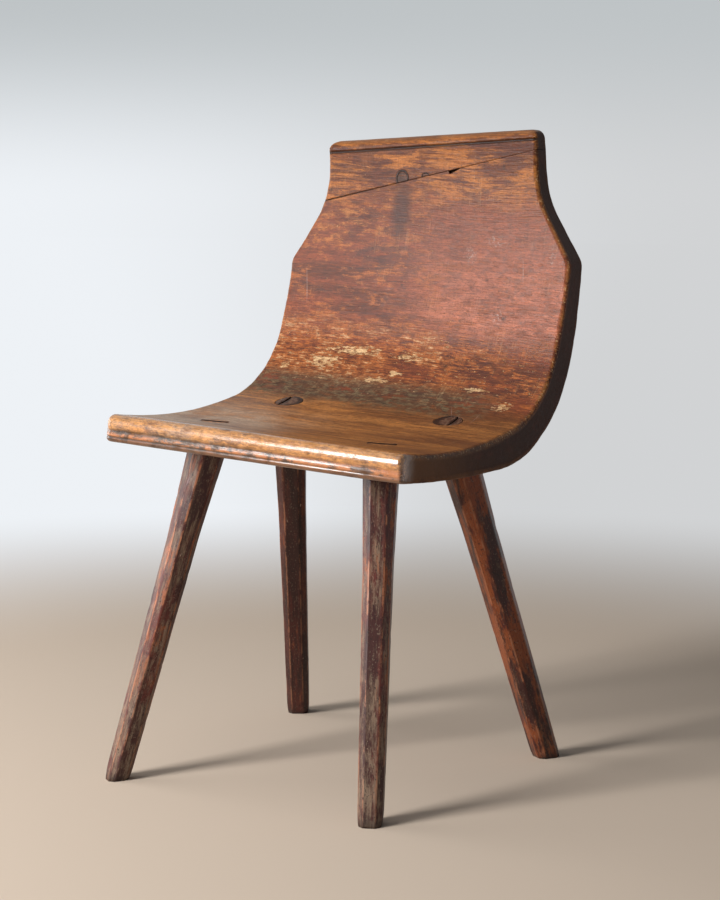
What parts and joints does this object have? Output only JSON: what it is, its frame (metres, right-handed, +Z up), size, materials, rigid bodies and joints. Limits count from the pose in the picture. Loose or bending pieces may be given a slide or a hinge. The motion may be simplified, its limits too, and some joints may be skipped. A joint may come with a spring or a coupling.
{
  "type": "stick leg chair",
  "caption": "Rustic country chair: one curved wooden board makes seat and back, with a jointed crest board, on splayed octagonal legs wedged through the seat.",
  "frame": {"origin": "on the floor, under the middle of the chair's bounding box", "axes": "+Z up, -Y the front edge of the seat, +X the right side seen from the front"},
  "size_m": [0.4356, 0.4558, 0.8001],
  "materials": {
    "board_wood": "worn, waxed, reddish brown with ochre wear",
    "crest_wood": "worn, waxed, reddish brown with ochre wear",
    "leg_wood": "dark, worn, waxed, with orange worn arrises",
    "wedge_wood": "dark end grain"
  },
  "bodies": {
    "root": {"seat_and_back_board": "board_wood", "crest_board": "crest_wood", "front_left_leg": "leg_wood", "front_right_leg": "leg_wood", "rear_left_leg": "leg_wood", "rear_right_leg": "leg_wood", "front_left_wedge": "wedge_wood", "front_right_wedge": "wedge_wood", "rear_left_wedge": "wedge_wood", "rear_right_wedge": "wedge_wood", "crest_dowel_left": "wedge_wood", "crest_dowel_right": "wedge_wood"}
  },
  "joints": []
}
